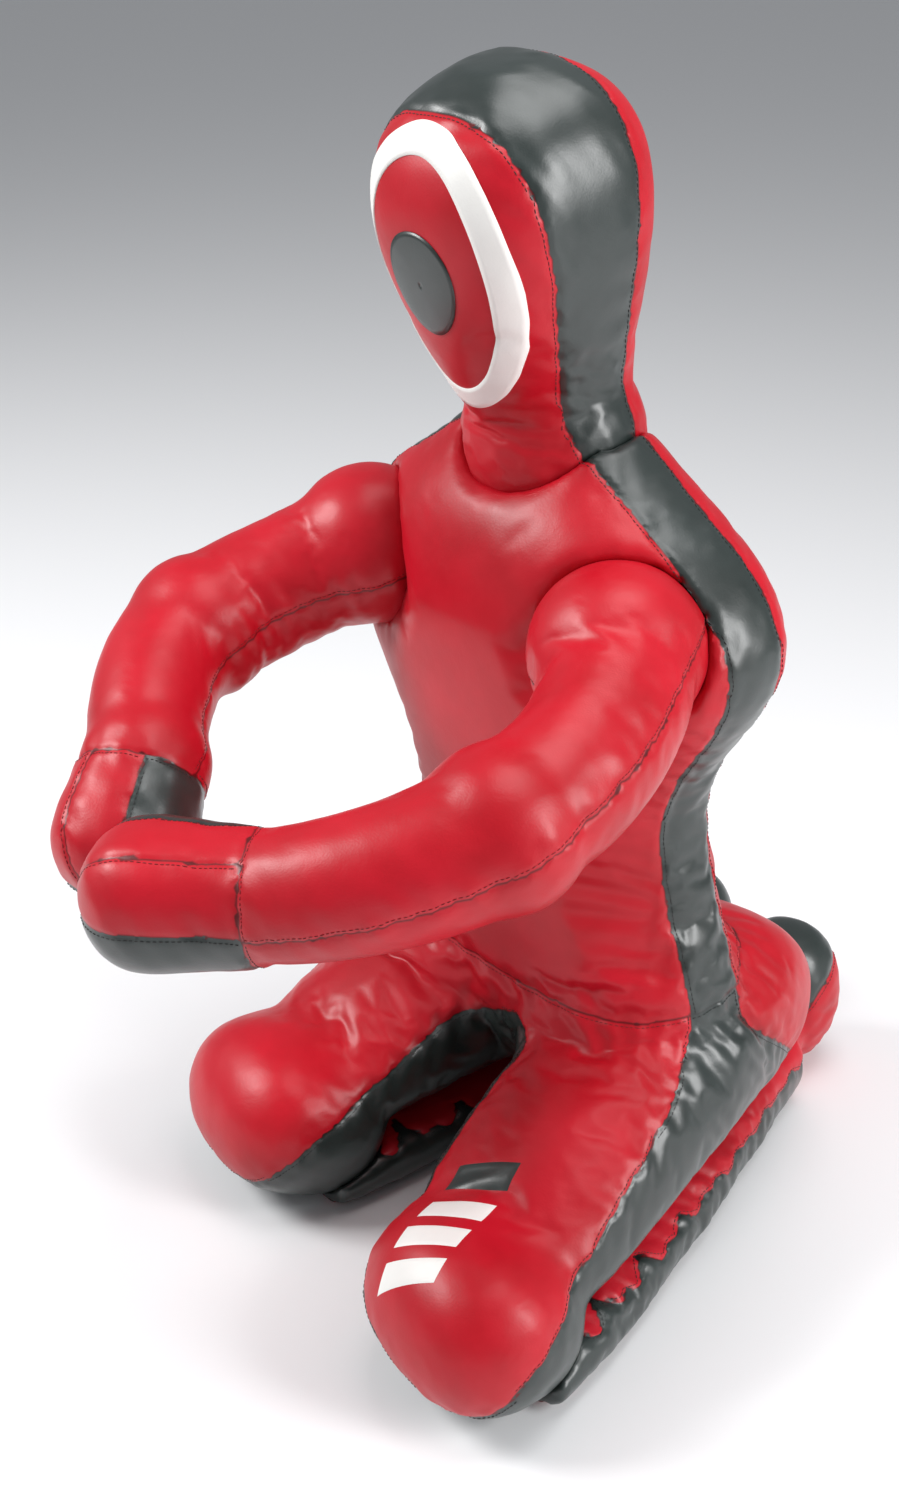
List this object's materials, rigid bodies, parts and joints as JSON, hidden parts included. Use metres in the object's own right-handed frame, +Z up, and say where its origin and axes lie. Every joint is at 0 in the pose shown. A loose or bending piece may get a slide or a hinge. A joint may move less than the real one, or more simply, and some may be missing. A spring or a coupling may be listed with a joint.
{
  "type": "grappling dummy",
  "caption": "Kneeling stuffed grappling dummy in red and dark synthetic leather, arms held forward in a hug, plain target on the face, sitting back on its folded legs.",
  "frame": {"origin": "middle of the base's bounding box, on the floor between the folded legs", "axes": "+Z up; the dummy faces -Y; its own left side is +X"},
  "size_m": [0.5927, 0.8751, 1.0924],
  "materials": {
    "red_leather": "soft satin grained synthetic leather",
    "dark_leather": "satin grained synthetic leather",
    "white_print": "matt sewn-on synthetic leather",
    "stuffing": "packed textile stuffing",
    "zip_tape": "woven tape with moulded coil",
    "zip_metal": "worn nickel-plated zip slider"
  },
  "bodies": {
    "left_shin": {"left_shin_stuffing": "stuffing", "left_shin_front_panel": "red_leather", "left_calf_strip": "red_leather", "left_shin_outer_gusset": "dark_leather", "left_shin_inner_gusset": "dark_leather"},
    "pelvis": {"pelvis_stuffing": "stuffing", "seat_panel": "red_leather", "hip_front_panel": "red_leather", "left_thigh_stuffing": "stuffing", "left_thigh_front_panel": "red_leather", "left_thigh_outer_gusset": "dark_leather", "left_thigh_inner_gusset": "dark_leather", "right_thigh_stuffing": "stuffing", "right_thigh_front_panel": "red_leather", "right_thigh_outer_gusset": "dark_leather", "right_thigh_inner_gusset": "dark_leather"},
    "right_shin": {"right_shin_stuffing": "stuffing", "right_shin_front_panel": "red_leather", "right_calf_strip": "red_leather", "right_shin_outer_gusset": "dark_leather", "right_shin_inner_gusset": "dark_leather"},
    "left_foot": {"left_foot_stuffing": "stuffing", "left_foot_red_panel": "red_leather", "left_foot_dark_panel": "dark_leather"},
    "right_foot": {"right_foot_stuffing": "stuffing", "right_foot_red_panel": "red_leather", "right_foot_dark_panel": "dark_leather"},
    "torso": {"torso_stuffing": "stuffing", "chest_panel": "red_leather", "back_panel": "red_leather", "torso_left_band": "dark_leather", "torso_right_band": "dark_leather", "back_zip": "zip_tape"},
    "zip_slider": {"zip_slider": "zip_metal"},
    "head": {"head_stuffing": "stuffing", "face_panel": "red_leather", "head_back_panel": "red_leather", "head_side_band": "dark_leather", "face_target_ring": "white_print", "face_target_disc": "dark_leather"},
    "left_upper_arm": {"left_upper_arm_stuffing": "stuffing", "left_upper_arm_top_panel": "red_leather", "left_upper_arm_under_panel": "red_leather"},
    "left_forearm": {"left_forearm_stuffing": "stuffing", "left_forearm_top_panel": "red_leather", "left_forearm_under_panel": "red_leather"},
    "left_hand": {"left_hand_stuffing": "stuffing", "left_hand_top_panel": "red_leather", "left_hand_outer_panel": "red_leather", "left_hand_palm_panel": "dark_leather"},
    "right_upper_arm": {"right_upper_arm_stuffing": "stuffing", "right_upper_arm_top_panel": "red_leather", "right_upper_arm_under_panel": "red_leather"},
    "right_forearm": {"right_forearm_stuffing": "stuffing", "right_forearm_top_panel": "red_leather", "right_forearm_under_panel": "red_leather"},
    "right_hand": {"right_hand_stuffing": "stuffing", "right_hand_top_panel": "red_leather", "right_hand_outer_panel": "red_leather", "right_hand_palm_panel": "dark_leather"}
  },
  "joints": [
    {"name": "left_knee", "type": "hinge", "parent": "left_shin", "child": "pelvis", "pos_m": [0.189, -0.1792, 0.082], "axis": [0.9909, -0.1343, 0], "range_deg": [0, 18]},
    {"name": "right_knee", "type": "hinge", "parent": "pelvis", "child": "right_shin", "pos_m": [-0.143, -0.1342, 0.082], "axis": [0.9909, -0.1343, 0], "range_deg": [-18, 0]},
    {"name": "left_ankle", "type": "hinge", "parent": "left_shin", "child": "left_foot", "pos_m": [0.065, 0.3268, 0.05], "axis": [-0.9713, -0.238, 0], "range_deg": [-4, 12]},
    {"name": "right_ankle", "type": "hinge", "parent": "right_shin", "child": "right_foot", "pos_m": [-0.105, 0.3268, 0.05], "axis": [-0.9966, 0.0822, 0], "range_deg": [-4, 12]},
    {"name": "waist_bend", "type": "hinge", "parent": "pelvis", "child": "torso", "pos_m": [-0.007, 0.11803, 0.23308], "axis": [1, 0, 0], "range_deg": [-10, 16]},
    {"name": "neck_nod", "type": "hinge", "parent": "torso", "child": "head", "pos_m": [-0.007, 0.08036, 0.77176], "axis": [1, 0, 0], "range_deg": [-12, 14]},
    {"name": "left_shoulder", "type": "hinge", "parent": "torso", "child": "left_upper_arm", "pos_m": [0.155, 0.0028, 0.643], "axis": [-1, 0, 0], "range_deg": [-5, 24]},
    {"name": "left_elbow", "type": "hinge", "parent": "left_upper_arm", "child": "left_forearm", "pos_m": [0.22851, -0.18757, 0.58066], "axis": [-0.0843, -0.3393, 0.9369], "range_deg": [0, 32]},
    {"name": "left_wrist", "type": "hinge", "parent": "left_forearm", "child": "left_hand", "pos_m": [0.089, -0.3342, 0.515], "axis": [-0.3036, 0.9528, 0], "range_deg": [-20, 20]},
    {"name": "right_shoulder", "type": "hinge", "parent": "torso", "child": "right_upper_arm", "pos_m": [-0.169, 0.0028, 0.641], "axis": [-1, 0, 0], "range_deg": [-6, 24]},
    {"name": "right_elbow", "type": "hinge", "parent": "right_upper_arm", "child": "right_forearm", "pos_m": [-0.22863, -0.15136, 0.58273], "axis": [-0.0641, 0.3745, -0.925], "range_deg": [0, 32]},
    {"name": "right_wrist", "type": "hinge", "parent": "right_forearm", "child": "right_hand", "pos_m": [-0.128, -0.2792, 0.524], "axis": [-0.5453, -0.8383, 0], "range_deg": [-20, 4]},
    {"name": "zip_slide", "type": "slide", "parent": "torso", "child": "zip_slider", "axis": [0, -0.0692, -0.9976], "range_m": [0, 0.164]}
  ],
  "couplings": [
    {"joint": "right_knee", "follows": "left_knee", "ratio": -1}
  ]
}
